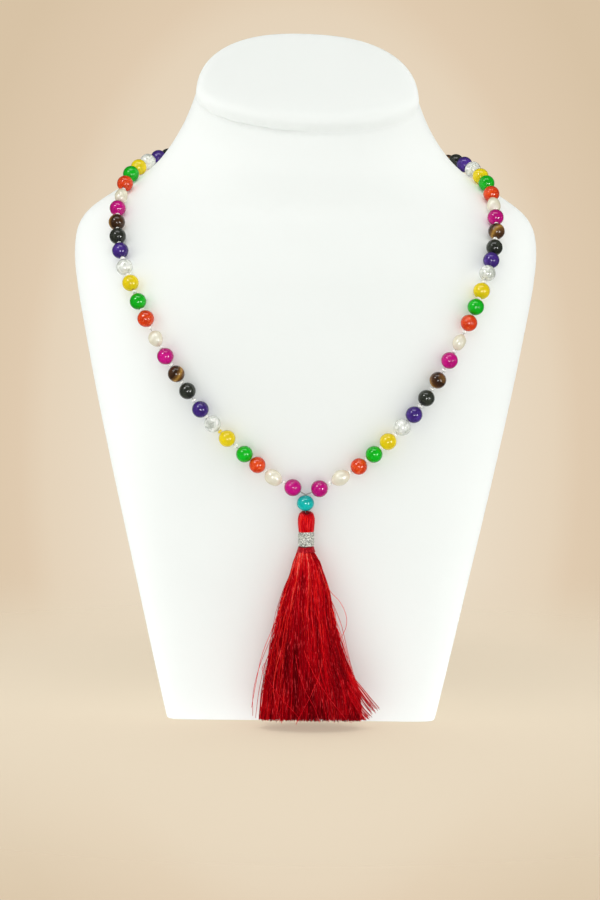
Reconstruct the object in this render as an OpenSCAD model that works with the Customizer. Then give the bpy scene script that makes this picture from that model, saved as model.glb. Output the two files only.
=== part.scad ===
// Mala of nine repeating bead colours with a guru bead and a silk tassel,
// worn by a plain neck bust. Millimetres, +Z up, the front faces -Y.
// The origin is the middle of the bust's flat base.

/* [Beads] */
// Diameter of a round bead
bead_diameter = 8; // [6:0.5:10]
// Length of an oval pearl along the thread
pearl_length = 9; // [8:0.1:11]
// Diameter of an oval pearl across the thread
pearl_diameter = 7.2; // [6:0.1:9]
// Diameter of the small seed bead in each gap
seed_diameter = 2.2; // [1.5:0.1:3]
// Length of a seed bead along the thread
seed_length = 1.4; // [1:0.1:2.5]
// Diameter of the thread
thread_diameter = 0.8; // [0.4:0.1:1.2]
// Distance along the thread from the loop's middle to the first bead
first_bead = 7.4; // [6:0.1:9]
// Clear distance between a bead and the bust
clearance = 0.4; // [0.2:0.05:0.6]

/* [Guru bead] */
// Angle of the guru bead round the bust
guru_angle = 0.7; // [-2:0.1:2]
// Level of the guru bead's centre on the bust
guru_level = 110.9; // [105:0.1:116]
// Diameter of the bore that the thread passes
guru_bore = 1.3; // [1:0.1:2]

/* [Tassel] */
// Distance of the tassel's axis to the right of the guru bead's
tassel_aside = 0.5; // [0:0.1:1]
// Diameter of the domed stem
stem_diameter = 8.2; // [6:0.1:10]
// Top of the stem
stem_top = 106.5; // [104:0.1:108]
// Top of the silver band
band_top = 96.8; // [92:0.1:100]
// Height of the silver band
band_height = 7.2; // [4:0.1:10]
// Outer diameter of the silver band
band_diameter = 7.8; // [6:0.1:10]
// Height of the wrap under the band
wrap_height = 2.9; // [2:0.1:5]
// Outer diameter of the wrap
wrap_diameter = 8.9; // [7:0.1:11]

/* [Hidden] */
$fn = 48;
bead_radius = bead_diameter / 2;
lift = bead_radius + clearance;
seam = 0.2;
side_beads = 36;
run_beads = 9;

// Bust sections: level, half width, front y, back y, y of the widest place,
// front roundness, back roundness, backward slope and fall to the right in degrees
sections = [
    [0, 67.2, -57, 56.5, -32, 12, 3, 0, 0],
    [60, 81.3, -62, 62, -26, 6, 2.8, 0, 0],
    [120, 95.9, -67, 70, -18, 3.4, 2.6, 0, 0],
    [160, 105.2, -70, 76, -11, 2.8, 2.4, 0, 0],
    [200, 113.2, -72, 82, -6, 2.6, 2.4, 0, 0],
    [222, 117.3, -64.5, 86, -2, 2.4, 2.4, 0, 0],
    [240, 118, -52, 88, 3, 2.2, 2.3, 1, 0],
    [252, 113, -44, 86, 5, 2, 2.1, 4, 0],
    [262, 99, -40.5, 80, 5, 2, 2, 7.5, 0],
    [272, 81, -40, 68, 2, 2, 2, 12, 0],
    [284, 69.7, -39.5, 57, 0, 2, 2, 18, 0.6],
    [296, 61.8, -37.5, 48, -2, 2, 2.2, 26.6, 1.15],
    [308, 56, -34.5, 39, -10.6, 2, 2.35, 33.6, 1.7]
];

// Levels at which the body has an edge ring
body_levels = [
    1.2, 15, 30, 45, 60, 80, 100, 120, 140, 160, 180, 200, 211, 222, 231, 240, 246, 252,
    257, 262, 267, 272, 278, 284, 290, 296, 302, 307.2
];

// Rolled lid on the neck: rise above the crease, inset of the outline
lid_rows = [
    [0, 0.8], [0.6, 0], [2.5, -0.35], [4.5, -0.2], [6.2, 0.8], [7.6, 2.6], [8.4, 5.2],
    [8.9, 10], [9.2, 24]
];

// Way of the thread on each side, every third bead: angle round the bust, level
left_way = [
    [-1.6, 115.6], [8.9, 123.8], [23.3, 148], [32.2, 174.6], [38.4, 198.8], [43.9, 220],
    [52, 246.5], [66.8, 262.3], [97.3, 269.9], [126, 270.1], [143.6, 258.5], [162, 257],
    [180, 255]
];
right_way = [
    [0.3, 114], [15.1, 128.8], [26.9, 151.4], [33.2, 171.3], [40.2, 200.5], [46.1, 226.6],
    [53.5, 248.8], [65.7, 261], [87.6, 268.5], [113.9, 270.7], [139.6, 263.9], [162, 257],
    [180, 255]
];

// How far each bead has slid up the thread from its even place
left_slips = [
    0.9, 1.5, 1.1, -0.9, 0.2, 0, -1, -0.3, -0.6, -0.8, -1.1, -0.4, -0.9, -0.2, -0.6, -0.2, -0.7,
    -1.2, -1.4, -3, -2.5, -1.3, 0.3, 2, 3.3, 2.5, 1.9, 1.9, 0.8
];
right_slips = [
    1.1, 2.6, 3.1, 2.5, 1.7, 1.5, -0.2, -0.2, 0.1, 1.2, 1.4, 1.9, 0.8, -0.1, 0.5, -1.3, -2.8,
    -1.8, -1.9, -3.2, -4.5, -4.6, -6.3, -5, -3.6, -3, -2.4, -1.2
];

// Tassel skirt: level, half width, middle x, front y, back y
skirt_rows = [
    [86.1, 4.4, 1.3, -75.2, -66.4],
    [82.5, 6.4, 1.9, -77.4, -65.8],
    [75, 9.2, 2.3, -79.4, -65],
    [55.5, 13.9, 2.1, -82, -63.6],
    [36, 18.7, 2.8, -84, -62],
    [20, 23.3, 4.5, -85, -60.6],
    [5.2, 24.9, 4.8, -86, -59.5]
];

// Smooth curve through the rows of a table, for one of its columns
function table_slope(t, c, i) =
    let (a = max(i - 1, 0), b = min(i + 1, len(t) - 1))
    (t[b][c] - t[a][c]) / (t[b][0] - t[a][0]);
function step_slope(t, c, i) =
    let (a = max(i - 1, 0), b = min(i + 1, len(t) - 1))
    (t[b][c] - t[a][c]) / (b - a);
function blend(p, q, mp, mq, u) =
    (2 * pow(u, 3) - 3 * pow(u, 2) + 1) * p
    + (pow(u, 3) - 2 * pow(u, 2) + u) * mp
    + (3 * pow(u, 2) - 2 * pow(u, 3)) * q
    + (pow(u, 3) - pow(u, 2)) * mq;
function row_at(t, x, i = 0) = (i >= len(t) - 2 || x < t[i + 1][0]) ? i : row_at(t, x, i + 1);
function column(c, x) =
    let (i = row_at(sections, x), d = sections[i + 1][0] - sections[i][0])
    blend(
        sections[i][c], sections[i + 1][c],
        table_slope(sections, c, i) * d, table_slope(sections, c, i + 1) * d,
        (x - sections[i][0]) / d
    );

// Point on the bust's skin at a level and an angle: 0 front, 90 its right side in
// the view from the front, 180 back
function skin(level, angle) =
    let (
        half = column(1, level),
        front = column(2, level),
        back = column(3, level),
        middle = column(4, level),
        n = cos(angle) > 0 ? column(5, level) : column(6, level),
        depth = cos(angle) > 0 ? middle - front : back - middle,
        q = pow(pow(abs(sin(angle)), n) + pow(abs(cos(angle)), n), -1 / n),
        y = -depth * q * cos(angle)
    )
    [
        half * q * sin(angle),
        middle + y,
        level + y * tan(column(7, level)) - half * q * sin(angle) * tan(column(8, level))
    ];
function unit(v) = v / norm(v);
function outward(level, angle) =
    unit(cross(
        skin(level, angle + 0.05) - skin(level, angle - 0.05),
        skin(level + 0.05, angle) - skin(level - 0.05, angle)
    ));
function lifted(level, angle, rise) = skin(level, angle) + rise * outward(level, angle);

// Ring of the rolled lid: the crease's outline, drawn in and raised square to it
crease_level = 307.8;
crease_slope = column(7, crease_level);
crease_fall = column(8, crease_level);
crease_middle = [0, (column(2, crease_level) + column(3, crease_level)) / 2, 0];
crease_centre = [
    0,
    crease_middle[1],
    crease_level + (crease_middle[1] - column(4, crease_level)) * tan(crease_slope)
];
function lid_point(rise, inset, angle) =
    let (p = skin(crease_level, angle) - crease_centre)
    crease_centre + p * (1 - inset / norm(p))
    + rise * [sin(crease_fall), -sin(crease_slope), cos(crease_slope)];

// Closed mesh of a stack of equal rings, with a middle point in its top
function middle_of(ring) = [for (c = [0:2]) [for (p = ring) p[c]] * [for (p = ring) 1 / len(ring)]];
module ring_stack(rings) {
    m = len(rings[0]);
    n = len(rings);
    polyhedron(
        points = concat([for (r = rings) each r], [middle_of(rings[n - 1])]),
        faces = concat(
            [[for (j = [0:m - 1]) j]],
            [for (i = [0:n - 2], j = [0:m - 1]) let (k = (j + 1) % m)
                each [
                    [i * m + j, (i + 1) * m + j, i * m + k],
                    [i * m + k, (i + 1) * m + j, (i + 1) * m + k]
                ]],
            [for (j = [0:m - 1]) [(n - 1) * m + j, n * m, (n - 1) * m + (j + 1) % m]]
        )
    );
}

function body_ring(level) = [for (a = [0:5:355]) skin(level, a)];
function base_ring() = [for (a = [0:5:355]) let (p = skin(0, a)) [p[0] * 0.997, p[1] * 0.997, 0]];

module neck_bust() {
    color("white")
    ring_stack(concat(
        [base_ring()],
        [for (level = body_levels) body_ring(level)],
        [for (row = lid_rows) [for (a = [0:5:355]) lid_point(row[0], row[1], a)]]
    ));
}

// Thread line of one side, as points lifted off the skin, with the distance so far
function way_column(way, c, i, u) =
    blend(way[i][c], way[i + 1][c], step_slope(way, c, i), step_slope(way, c, i + 1), u);
function way_point(way, side, i, u) =
    lifted(way_column(way, 1, i, u), side * way_column(way, 0, i, u), lift);
function way_points(way, side) = concat(
    [for (i = [0:len(way) - 2], u = [0:11]) way_point(way, side, i, u / 12)],
    [way_point(way, side, len(way) - 2, 1)]
);
function distances(p) = [
    for (i = 0, d = 0; i < len(p); d = d + (i + 1 < len(p) ? norm(p[i + 1] - p[i]) : 0), i = i + 1) d
];
function measured(p) = let (d = distances(p)) [for (c = [0:2]) [for (i = [0:len(p) - 1]) [d[i], p[i][c]]]];
left_line = measured(way_points(left_way, -1));
right_line = measured(way_points(right_way, 1));
function line_length(line) = line[0][len(line[0]) - 1][0];
function on_line(line, d) = [lookup(d, line[0]), lookup(d, line[1]), lookup(d, line[2])];

// Centre of a bead, counted from 1 at the loop's middle; side is -1 left, 1 right
function side_line(side) = side < 0 ? left_line : right_line;
function side_slips(side) = side < 0 ? left_slips : right_slips;
function pitch(side) = (line_length(side_line(side)) - first_bead) / (side_beads - 0.5);
function slip(side, i) = i <= len(side_slips(side)) ? side_slips(side)[i - 1] : 0;
function bead_centre(side, i) =
    i > side_beads
    ? bead_centre(-side, 2 * side_beads + 1 - i)
    : on_line(side_line(side), first_bead + pitch(side) * (i - 1) + slip(side, i));

// Turns a shape's own Z axis along the line from one point to another
module along(p, q) {
    d = q - p;
    translate(p)
    rotate([0, acos(d[2] / norm(d)), atan2(d[1], d[0])])
    children();
}

module thread(p, q) {
    along(p, q)
    cylinder(d = thread_diameter, h = norm(q - p));
}

module seed(p, q) {
    along(p, q)
    translate([0, 0, norm(q - p) / 2])
    intersection() {
        sphere(d = seed_diameter);
        cylinder(d = seed_diameter * 2, h = seed_length, center = true);
    }
}

module pearl(p, q) {
    along(p, q)
    for (z = [-1, 0, 1])
    translate([0, 0, z * (pearl_length - pearl_diameter + 0.3) / 2])
    rotate([90, 0, 0])
    sphere(d = pearl_diameter - (z == 0 ? 0 : 0.3));
}

// Half the length of a bead along the thread; the second of each nine is the pearl
function half_length(i) = i % run_beads == 2 ? pearl_length / 2 : bead_radius;

// Nine beads in their colour order
module bead_run(side, run) {
    first = (run - 1) * run_beads + 1;
    last = run * run_beads;
    ends = run == 4 && side < 0;
    for (i = [first:last]) {
        p = bead_centre(side, i);
        q = bead_centre(side, i + 1);
        u = unit(q - p);
        gap = norm(q - p) - half_length(i) - half_length(i + 1);
        stop = (i == last) ? q - (bead_radius + seam) * u : q;
        if (i % run_beads == 2)
            pearl(p, q);
        else
            along(p, q)
            rotate([90, 0, 0])
            sphere(d = bead_diameter);
        if (!(ends && i == last)) {
            thread(p, stop);
            if (gap > 1)
                seed(p + half_length(i) * u, q - half_length(i + 1) * u);
        }
    }
}

module left_run_1() { color("deeppink") bead_run(-1, 1); }
module left_run_2() { color("orange") bead_run(-1, 2); }
module left_run_3() { color("gold") bead_run(-1, 3); }
module left_run_4() { color("limegreen") bead_run(-1, 4); }
module right_run_1() { color("deeppink") bead_run(1, 1); }
module right_run_2() { color("orange") bead_run(1, 2); }
module right_run_3() { color("gold") bead_run(1, 3); }
module right_run_4() { color("limegreen") bead_run(1, 4); }

guru_centre = lifted(guru_level, guru_angle, lift);
tassel_axis = [guru_centre[0] + tassel_aside, guru_centre[1], 0];

module guru_bead() {
    color("turquoise")
    translate(guru_centre)
    difference() {
        sphere(d = bead_diameter);
        cylinder(d = guru_bore, h = bead_diameter * 2, center = true);
    }
}

// Thread from the two lowest beads through the guru bead to the tassel
module guru_thread() {
    fork = guru_centre + [0, 0, bead_radius + 0.5];
    color("silver") {
        translate(fork) sphere(d = thread_diameter * 1.4);
        for (side = [-1, 1]) {
            p = bead_centre(side, 1);
            thread(p + (bead_radius + seam) * unit(fork - p), fork);
        }
        translate([fork[0], fork[1], stem_top + seam])
        cylinder(d = thread_diameter, h = fork[2] - stem_top - seam);
    }
}

module tassel_head() {
    color("firebrick")
    translate(tassel_axis) {
        translate([0, 0, band_top]) {
            cylinder(d = stem_diameter, h = stem_top - band_top - stem_diameter / 2);
            translate([0, 0, stem_top - band_top - stem_diameter / 2]) sphere(d = stem_diameter);
        }
    }
}

module tassel_band() {
    color("silver")
    translate(tassel_axis + [0, 0, band_top - seam - band_height])
    cylinder(d = band_diameter, h = band_height);
}

module tassel_wrap() {
    color("darkred")
    translate(tassel_axis + [0, 0, band_top - 2 * seam - band_height - wrap_height])
    cylinder(d = wrap_diameter, h = wrap_height);
}

function skirt_ring(row) = [
    for (a = [0:15:345])
        [row[2] + row[1] * sin(a), (row[3] + row[4]) / 2 - (row[4] - row[3]) / 2 * cos(a), row[0]]
];

module tassel_skirt() {
    color("red")
    ring_stack([for (i = [len(skirt_rows) - 1:-1:0]) skirt_ring(skirt_rows[i])]);
}

neck_bust();
left_run_1();
left_run_2();
left_run_3();
left_run_4();
right_run_1();
right_run_2();
right_run_3();
right_run_4();
guru_thread();
guru_bead();
tassel_head();
tassel_band();
tassel_wrap();
tassel_skirt();
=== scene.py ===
import math

import bpy
import numpy as np
from mathutils import Matrix, Vector


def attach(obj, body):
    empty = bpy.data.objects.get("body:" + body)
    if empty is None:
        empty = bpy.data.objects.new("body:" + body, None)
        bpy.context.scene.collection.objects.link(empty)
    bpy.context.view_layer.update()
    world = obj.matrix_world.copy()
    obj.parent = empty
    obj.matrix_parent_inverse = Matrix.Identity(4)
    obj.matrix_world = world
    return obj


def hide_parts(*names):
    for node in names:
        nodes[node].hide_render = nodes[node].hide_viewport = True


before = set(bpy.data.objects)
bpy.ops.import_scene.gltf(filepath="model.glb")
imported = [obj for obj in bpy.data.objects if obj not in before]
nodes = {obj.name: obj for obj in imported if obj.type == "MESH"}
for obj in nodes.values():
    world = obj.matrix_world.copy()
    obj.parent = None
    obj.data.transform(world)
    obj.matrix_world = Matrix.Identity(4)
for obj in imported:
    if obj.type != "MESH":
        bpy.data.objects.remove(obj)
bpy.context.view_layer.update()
MM = 0.001
rng = np.random.default_rng(108)

# Sizes
BEAD = 8.0
PEARL_LENGTH, PEARL_WIDTH = 9, 7.2
SEED_WIDTH, SEED_LENGTH, SEED_HOLE = 2.4, 1.4, 0.7
BEAD_SIDES, BEAD_RINGS = 32, 22  # the bore is as wide as the ring nearest the pole
BORE_EDGE = 0.1  # rounding of the bore's mouths
THREAD_PLY = 0.085  # radius of one ply of the thread
FIRST_BEAD = 7.4  # from the middle of the thread to the first bead
LIFT = 4.4  # of the thread off the bust's skin
SIDE_BEADS, RUN_BEADS = 36, 9
BEAD_AIR = 0.05  # least air between two beads
PAST_BORE = 0.1  # the thread leaves a bore straight for this far
GURU_ANGLE, GURU_LEVEL = 0.7, 110.9
TASSEL_ASIDE = 0.5
STEM_TOP, BAND_TOP, BAND_HEIGHT, WRAP_HEIGHT = 106.5, 96.8, 7.2, 2.9
STRAND_TOP, STRAND_END = 87.2, 3.6
BAND_RADIUS, WRAP_RADIUS, WRAP_FLARE = 3.75, 4.0, 0.75
SEAM = 0.2  # air between the parts of the tassel
CREASE = 307.8  # level of the crease under the bust's lid
SHARP = math.radians(40)  # edges sharper than this stay sharp

# Bust sections: level, half width, front y, back y, y of the widest place, front roundness,
# back roundness, backward slope of the section and fall to the right in degrees
SECTIONS = [
    [0, 67.2, -57, 56.5, -32, 12, 3, 0, 0],
    [60, 81.3, -62, 62, -26, 6, 2.8, 0, 0],
    [120, 95.9, -67, 70, -18, 3.4, 2.6, 0, 0],
    [160, 105.2, -70, 76, -11, 2.8, 2.4, 0, 0],
    [200, 113.2, -72, 82, -6, 2.6, 2.4, 0, 0],
    [222, 117.3, -64.5, 86, -2, 2.4, 2.4, 0, 0],
    [240, 118, -52, 88, 3, 2.2, 2.3, 1, 0],
    [252, 113, -44, 86, 5, 2, 2.1, 4, 0],
    [262, 99, -40.5, 80, 5, 2, 2, 7.5, 0],
    [272, 81, -40, 68, 2, 2, 2, 12, 0],
    [284, 69.7, -39.5, 57, 0, 2, 2, 18, 0.6],
    [296, 61.8, -37.5, 48, -2, 2, 2.2, 26.6, 1.15],
    [308, 56, -34.5, 39, -10.6, 2, 2.35, 33.6, 1.7],
]

# Way of the thread on each side, every third bead: angle round the bust, level
WAYS = {
    "left": [
        [-1.6, 115.6], [8.9, 123.8], [23.3, 148], [32.2, 174.6], [38.4, 198.8], [43.9, 220],
        [52, 246.5], [66.8, 262.3], [97.3, 269.9], [126, 270.1], [143.6, 258.5], [162, 257],
        [180, 255],
    ],
    "right": [
        [0.3, 114], [15.1, 128.8], [26.9, 151.4], [33.2, 171.3], [40.2, 200.5], [46.1, 226.6],
        [53.5, 248.8], [65.7, 261], [87.6, 268.5], [113.9, 270.7], [139.6, 263.9], [162, 257],
        [180, 255],
    ],
}

# How far each bead has slid up the thread from its even place
SLIPS = {
    "left": [
        0.9, 1.5, 1.1, -0.9, 0.2, 0, -1, -0.3, -0.6, -0.8, -1.1, -0.4, -0.9, -0.2, -0.6, -0.2,
        -0.7, -1.2, -1.4, -3, -2.5, -1.3, 0.3, 2, 3.3, 2.5, 1.9, 1.9, 0.8,
    ],
    "right": [
        1.1, 2.6, 3.1, 2.5, 1.7, 1.5, -0.2, -0.2, 0.1, 1.2, 1.4, 1.9, 0.8, -0.1, 0.5, -1.3,
        -2.8, -1.8, -1.9, -3.2, -4.5, -4.6, -6.3, -5, -3.6, -3, -2.4, -1.2,
    ],
}

# Tassel skirt from its lower end up: level, half width, middle x, front y, back y
SKIRT = [
    [5.2, 24.9, 4.8, -86, -59.5],
    [20, 23.3, 4.5, -85, -60.6],
    [36, 18.7, 2.8, -84, -62],
    [55.5, 13.9, 2.1, -82, -63.6],
    [75, 9.2, 2.3, -79.4, -65],
    [82.5, 6.4, 1.9, -77.4, -65.8],
    [86.1, 4.4, 1.3, -75.2, -66.4],
]

# Painted light and shade on the folds of the skirt as seen from the front: x, level, half width, half
# height, lighter by
FOLD_SHADES = [
    [0.3, 73, 1.2, 6, -0.45],
    [-7.4, 35, 1.7, 15, -0.34],
    [-2.4, 32, 1.5, 16, -0.42],
    [4.5, 18, 2.2, 9, -0.4],
    [9.7, 9, 3.2, 5, -0.3],
    [17.5, 23, 1.8, 9, -0.16],
    [-18.5, 11, 4.5, 8, 0.22],
    [-11, 50, 2.6, 24, 0.14],
    [11.5, 52, 3.6, 22, 0.1],
    [23, 18, 4, 16, 0.14],
    [8.4, 76, 2, 10, 0.14],
]

# Head of the tassel from inside the band over the dome into the eye of its fold: share of the
# way, height over the band, radius
HEAD = [
    [0, -1, 3.4], [0.12, 0, 3.65], [0.3, 3, 4], [0.5, 6, 4.05], [0.68, 8.4, 3.5], [0.8, 9.5, 2.4],
    [0.9, 9.6, 1.4], [1, 8.3, 0.8],
]


# Curves and places
def hermite(p, q, mp, mq, u):
    """A curve from p to q that leaves at slope mp and comes in at slope mq; u is the share of it."""
    return (
        (2 * u**3 - 3 * u**2 + 1) * p
        + (u**3 - 2 * u**2 + u) * mp
        + (3 * u**2 - 2 * u**3) * q
        + (u**3 - u**2) * mq
    )


def hill(x, middle, wide):
    """1 at the middle, falling away softly to both sides."""
    return np.exp(-(((x - middle) / wide) ** 2))


def column(table, c, x):
    """A table's column as a smooth curve over its first column."""
    x = np.asarray(x, float)
    t = np.array(table, float)
    slope = np.gradient(t[:, c])
    slope[1:-1] = (t[2:, c] - t[:-2, c]) / (t[2:, 0] - t[:-2, 0])
    slope[0] = (t[1, c] - t[0, c]) / (t[1, 0] - t[0, 0])
    slope[-1] = (t[-1, c] - t[-2, c]) / (t[-1, 0] - t[-2, 0])
    i = np.clip(np.searchsorted(t[:, 0], x, side="right") - 1, 0, len(t) - 2)
    span = t[i + 1, 0] - t[i, 0]
    u = (x - t[i, 0]) / span
    return hermite(t[i, c], t[i + 1, c], slope[i] * span, slope[i + 1] * span, u)


def skin(level, angle):
    """Points on the bust's skin: angle 0 is the front, 90 the side."""
    columns = [column(SECTIONS, c, level) for c in range(1, 9)]
    half, front, back, middle, front_n, back_n, slope, fall = columns
    sine, cosine = np.sin(np.radians(angle)), np.cos(np.radians(angle))
    n = np.where(cosine > 0, front_n, back_n)
    depth = np.where(cosine > 0, middle - front, back - middle)
    q = (np.abs(sine) ** n + np.abs(cosine) ** n) ** (-1 / n)
    x, y = half * q * sine, -depth * q * cosine
    z = level + y * np.tan(np.radians(slope)) - x * np.tan(np.radians(fall))
    return np.stack([x, middle + y, z], axis=-1)


def lifted(level, angle, rise):
    """Points lifted square off the skin."""
    across = skin(level, angle + 0.05) - skin(level, angle - 0.05)
    up = skin(level + 0.05, angle) - skin(level - 0.05, angle)
    out = np.cross(across, up)
    return skin(level, angle) + rise * out / np.linalg.norm(out, axis=-1, keepdims=True)


def smoothed(points, count):
    """A smooth line through a few points."""
    p = np.array(points, float)
    slope = np.gradient(p, axis=0)
    steps = np.linspace(0, len(p) - 1, count)
    i = np.minimum(steps.astype(int), len(p) - 2)
    u = (steps - i)[:, None]
    return hermite(p[i], p[i + 1], slope[i], slope[i + 1], u)


def distances(line):
    """How far along a line each of its points lies."""
    return np.append(0, np.cumsum(np.linalg.norm(np.diff(line, axis=0), axis=1)))


def placed(line, at):
    """Points at given distances along a line."""
    return np.stack([np.interp(at, distances(line), line[:, k]) for k in range(3)], axis=1)


def bead_centres(side):
    """Centres of one side's beads from the front up, and of the other side's last one."""
    centres = {}
    for name, sign in (("left", -1), ("right", 1)):
        way = smoothed(WAYS[name], 12 * (len(WAYS[name]) - 1) + 1)
        line = lifted(way[:, 1], sign * way[:, 0], LIFT)
        pitch = (distances(line)[-1] - FIRST_BEAD) / (SIDE_BEADS - 0.5)
        slips = SLIPS[name] + [0] * (SIDE_BEADS - len(SLIPS[name]))
        at = FIRST_BEAD + pitch * np.arange(SIDE_BEADS) + slips
        centres[name] = placed(line, at)
    other = "right" if side == "left" else "left"
    return np.vstack([centres[side], centres[other][-1]])


GURU = lifted(GURU_LEVEL, GURU_ANGLE, LIFT)
FORK = GURU + [0, 0, BEAD / 2 + 0.3]
AXIS = GURU + [TASSEL_ASIDE, 0, 0]


# Colours and nodes
def linear(code):
    """A linear colour from an sRGB hex code."""
    values = [int(code[i:i + 2], 16) / 255 for i in (1, 3, 5)]
    return [v / 12.92 if v <= 0.04045 else ((v + 0.055) / 1.055) ** 2.4 for v in values] + [1]


def add(tree, kind, inputs=None, **settings):
    """Adds a node. An input is a value, another node's output, or a node for its first output."""
    node = tree.nodes.new("ShaderNode" + kind)
    for name, value in settings.items():
        setattr(node, name, value)
    for name, value in (inputs or {}).items():
        if isinstance(value, bpy.types.Node):
            value = value.outputs[0]
        if isinstance(value, bpy.types.NodeSocket):
            tree.links.new(value, node.inputs[name])
        else:
            node.inputs[name].default_value = value
    return node


def ramp(tree, share, stops):
    """Colours by share: stops are places and hex codes."""
    node = add(tree, "ValToRGB", {"Fac": share})
    elements = node.color_ramp.elements
    while len(elements) < len(stops):
        elements.new(0.5)
    for element, (place, code) in zip(elements, stops):
        element.position = place
        element.color = linear(code)
    return node


def noise(tree, place, scale, detail=2, **more):
    return add(tree, "TexNoise", {"Vector": place, "Scale": scale, "Detail": detail, **more})


def ranged(tree, value, before, after, **settings):
    """Carries a value over from one range to another, and holds it there."""
    low, high = before
    least, most = after
    return add(tree, "MapRange", {
        "Value": value, "From Min": low, "From Max": high, "To Min": least, "To Max": most,
    }, **settings)


def blend(tree, share, first, second):
    """Two colours mixed, by the share of the second."""
    return add(tree, "Mix", {0: share, 6: first, 7: second}, data_type="RGBA").outputs[2]


def bumps(tree, height, strength, distance, **more):
    return add(tree, "Bump", {"Height": height, "Strength": strength, "Distance": distance, **more})


def new_material(name):
    material = bpy.data.materials.new(name)
    material.use_nodes = True
    material.node_tree.nodes.clear()
    return material, material.node_tree


def finished(material, inputs):
    tree = material.node_tree
    add(tree, "OutputMaterial", {"Surface": add(tree, "BsdfPrincipled", inputs)})
    return material


def grain_of(tree, scale=(1, 1, 1), turn=(0, 0, 0)):
    """A bead's own place in millimetres, which its copies carry with them."""
    own = add(tree, "Attribute", attribute_name="grain").outputs["Vector"]
    return add(tree, "Mapping", {"Vector": own, "Scale": scale, "Rotation": turn})


def painted_edge_shade(tree, colour, edge_shade_code, share):
    """A see-through body is deeper in colour where one looks along its edge; here that is painted into the
    colour, as painted shade at the rim.
    """
    facing = add(tree, "LayerWeight", {"Blend": 0.3}).outputs["Facing"]
    rim_shade = ranged(tree, facing, (0.1, 0.8), (0, share))
    return blend(tree, rim_shade, colour, linear(edge_shade_code))


def polished_stone(name, stops, cloud, vein, veins, vein_share, edge, rough):
    """Tumbled and dyed stone: clouds of dye a few millimetres across, hair veins between them."""
    material, tree = new_material(name)
    place = grain_of(tree)
    clouds = noise(tree, place, 1 / cloud, 4, Roughness=0.55)
    lines = noise(tree, place, 1 / vein, Distortion=0.6)
    off = add(tree, "Math", {0: lines, 1: 0.5}, operation="SUBTRACT")
    near = add(tree, "Math", {0: off}, operation="ABSOLUTE")
    hair = ranged(tree, near, (0, 0.022), (vein_share, 0))
    body = blend(tree, hair, ramp(tree, clouds, stops), linear(veins))
    gloss = ranged(tree, clouds, (0, 1), (rough * 0.8, rough * 1.3))
    # The stone's rim is darkened with painted shade.
    return finished(material, {
        "Base Color": painted_edge_shade(tree, body, edge, 0.95), "Roughness": gloss, "IOR": 1.54,
        "Specular IOR Level": 0.06, "Coat Weight": 0.54, "Coat Roughness": 0.19,
    })


def tiger_eye(name):
    """Polished tiger's eye quartz: silky golden bands about two millimetres wide in dark brown."""
    material, tree = new_material(name)
    place = grain_of(tree, turn=(0.3, 0.9, 0))
    bands = add(tree, "TexWave", {
        "Vector": place, "Scale": 0.045, "Distortion": 1.6, "Detail Scale": 0.4,
    }, wave_profile="SAW")
    fibres = noise(tree, grain_of(tree, (0.3, 3.4, 3.4), (0.3, 0.9, 0)), 1, 3)
    mixed = add(tree, "Mix", {0: 0.16, 2: bands.outputs[1], 3: fibres})
    colour = ramp(tree, mixed, [
        (0.0, "#24150C"), (0.35, "#432814"), (0.55, "#6A4620"), (0.68, "#AC8036"), (0.8, "#6A4822"),
        (1.0, "#26160E"),
    ])
    return finished(material, {
        "Base Color": colour, "Roughness": 0.2, "IOR": 1.54, "Coat Weight": 0.46,
        "Coat Roughness": 0.2, "Specular IOR Level": 0.06,
    })


def rock_crystal(name):
    """Polished rock crystal: clear quartz with thin milky veils inside."""
    material, tree = new_material(name)
    veils = noise(tree, grain_of(tree), 0.32, 5, Distortion=1.1)
    milk = ranged(tree, veils, (0.35, 0.7), (0.5, 0.15))
    shade = ramp(tree, veils, [(0.35, "#CCD0C6"), (0.5, "#F1F2EC"), (0.65, "#FFFFFD")])
    # The crystal's rim is greyed with painted shade.
    return finished(material, {
        "Base Color": painted_edge_shade(tree, shade, "#989E96", 0.75), "Roughness": 0.1,
        "IOR": 1.544, "Transmission Weight": milk, "Coat Weight": 0.52, "Coat Roughness": 0.18,
    })


def freshwater_pearl(name):
    """Freshwater pearl: ivory nacre, soft and milky, with painted light at its middle and painted shade
    that deepens it towards its edge.
    """
    material, tree = new_material(name)
    clouds = noise(tree, grain_of(tree), 0.28, 3)
    body = ramp(tree, clouds, [(0.3, "#C8BE9E"), (0.55, "#DCD4BA"), (0.75, "#EEEADA")])
    # Painted light and shade: pale where the pearl faces one, dark olive towards its edge, mixed in at
    # 0.55.
    facing = add(tree, "LayerWeight", {"Blend": 0.35}).outputs["Facing"]
    painted_facing_shade = ramp(tree, facing, [(0.0, "#F4F0E2"), (0.5, "#D0C6AA"), (1.0, "#8E8568")])
    ripple = noise(tree, grain_of(tree, (0.25, 0.25, 1.1)), 0.7)
    return finished(material, {
        "Base Color": blend(tree, 0.55, body, painted_facing_shade), "Roughness": 0.3, "IOR": 1.53,
        "Normal": bumps(tree, ripple, 0.35, 0.0006), "Coat Weight": 0.6, "Coat Roughness": 0.2,
    })


def seed_glass(name, code, light):
    """Opaque rocaille glass: even colour, fire-polished and a little greasy in its gloss."""
    material, tree = new_material(name)
    place = add(tree, "TexCoord").outputs["Object"]
    colour = ramp(tree, noise(tree, place, 1400, 1), [(0.35, code), (0.65, light)])
    return finished(material, {"Base Color": colour, "Roughness": 0.2, "IOR": 1.52, "Coat Weight": 0.3})


def strand_parts(tree):
    """What each strand carries: its tint, and how far down it a point is."""
    own = add(tree, "Attribute", attribute_name="strand")
    return add(tree, "SeparateXYZ", {0: own.outputs["Vector"]}).outputs[:2]


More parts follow.
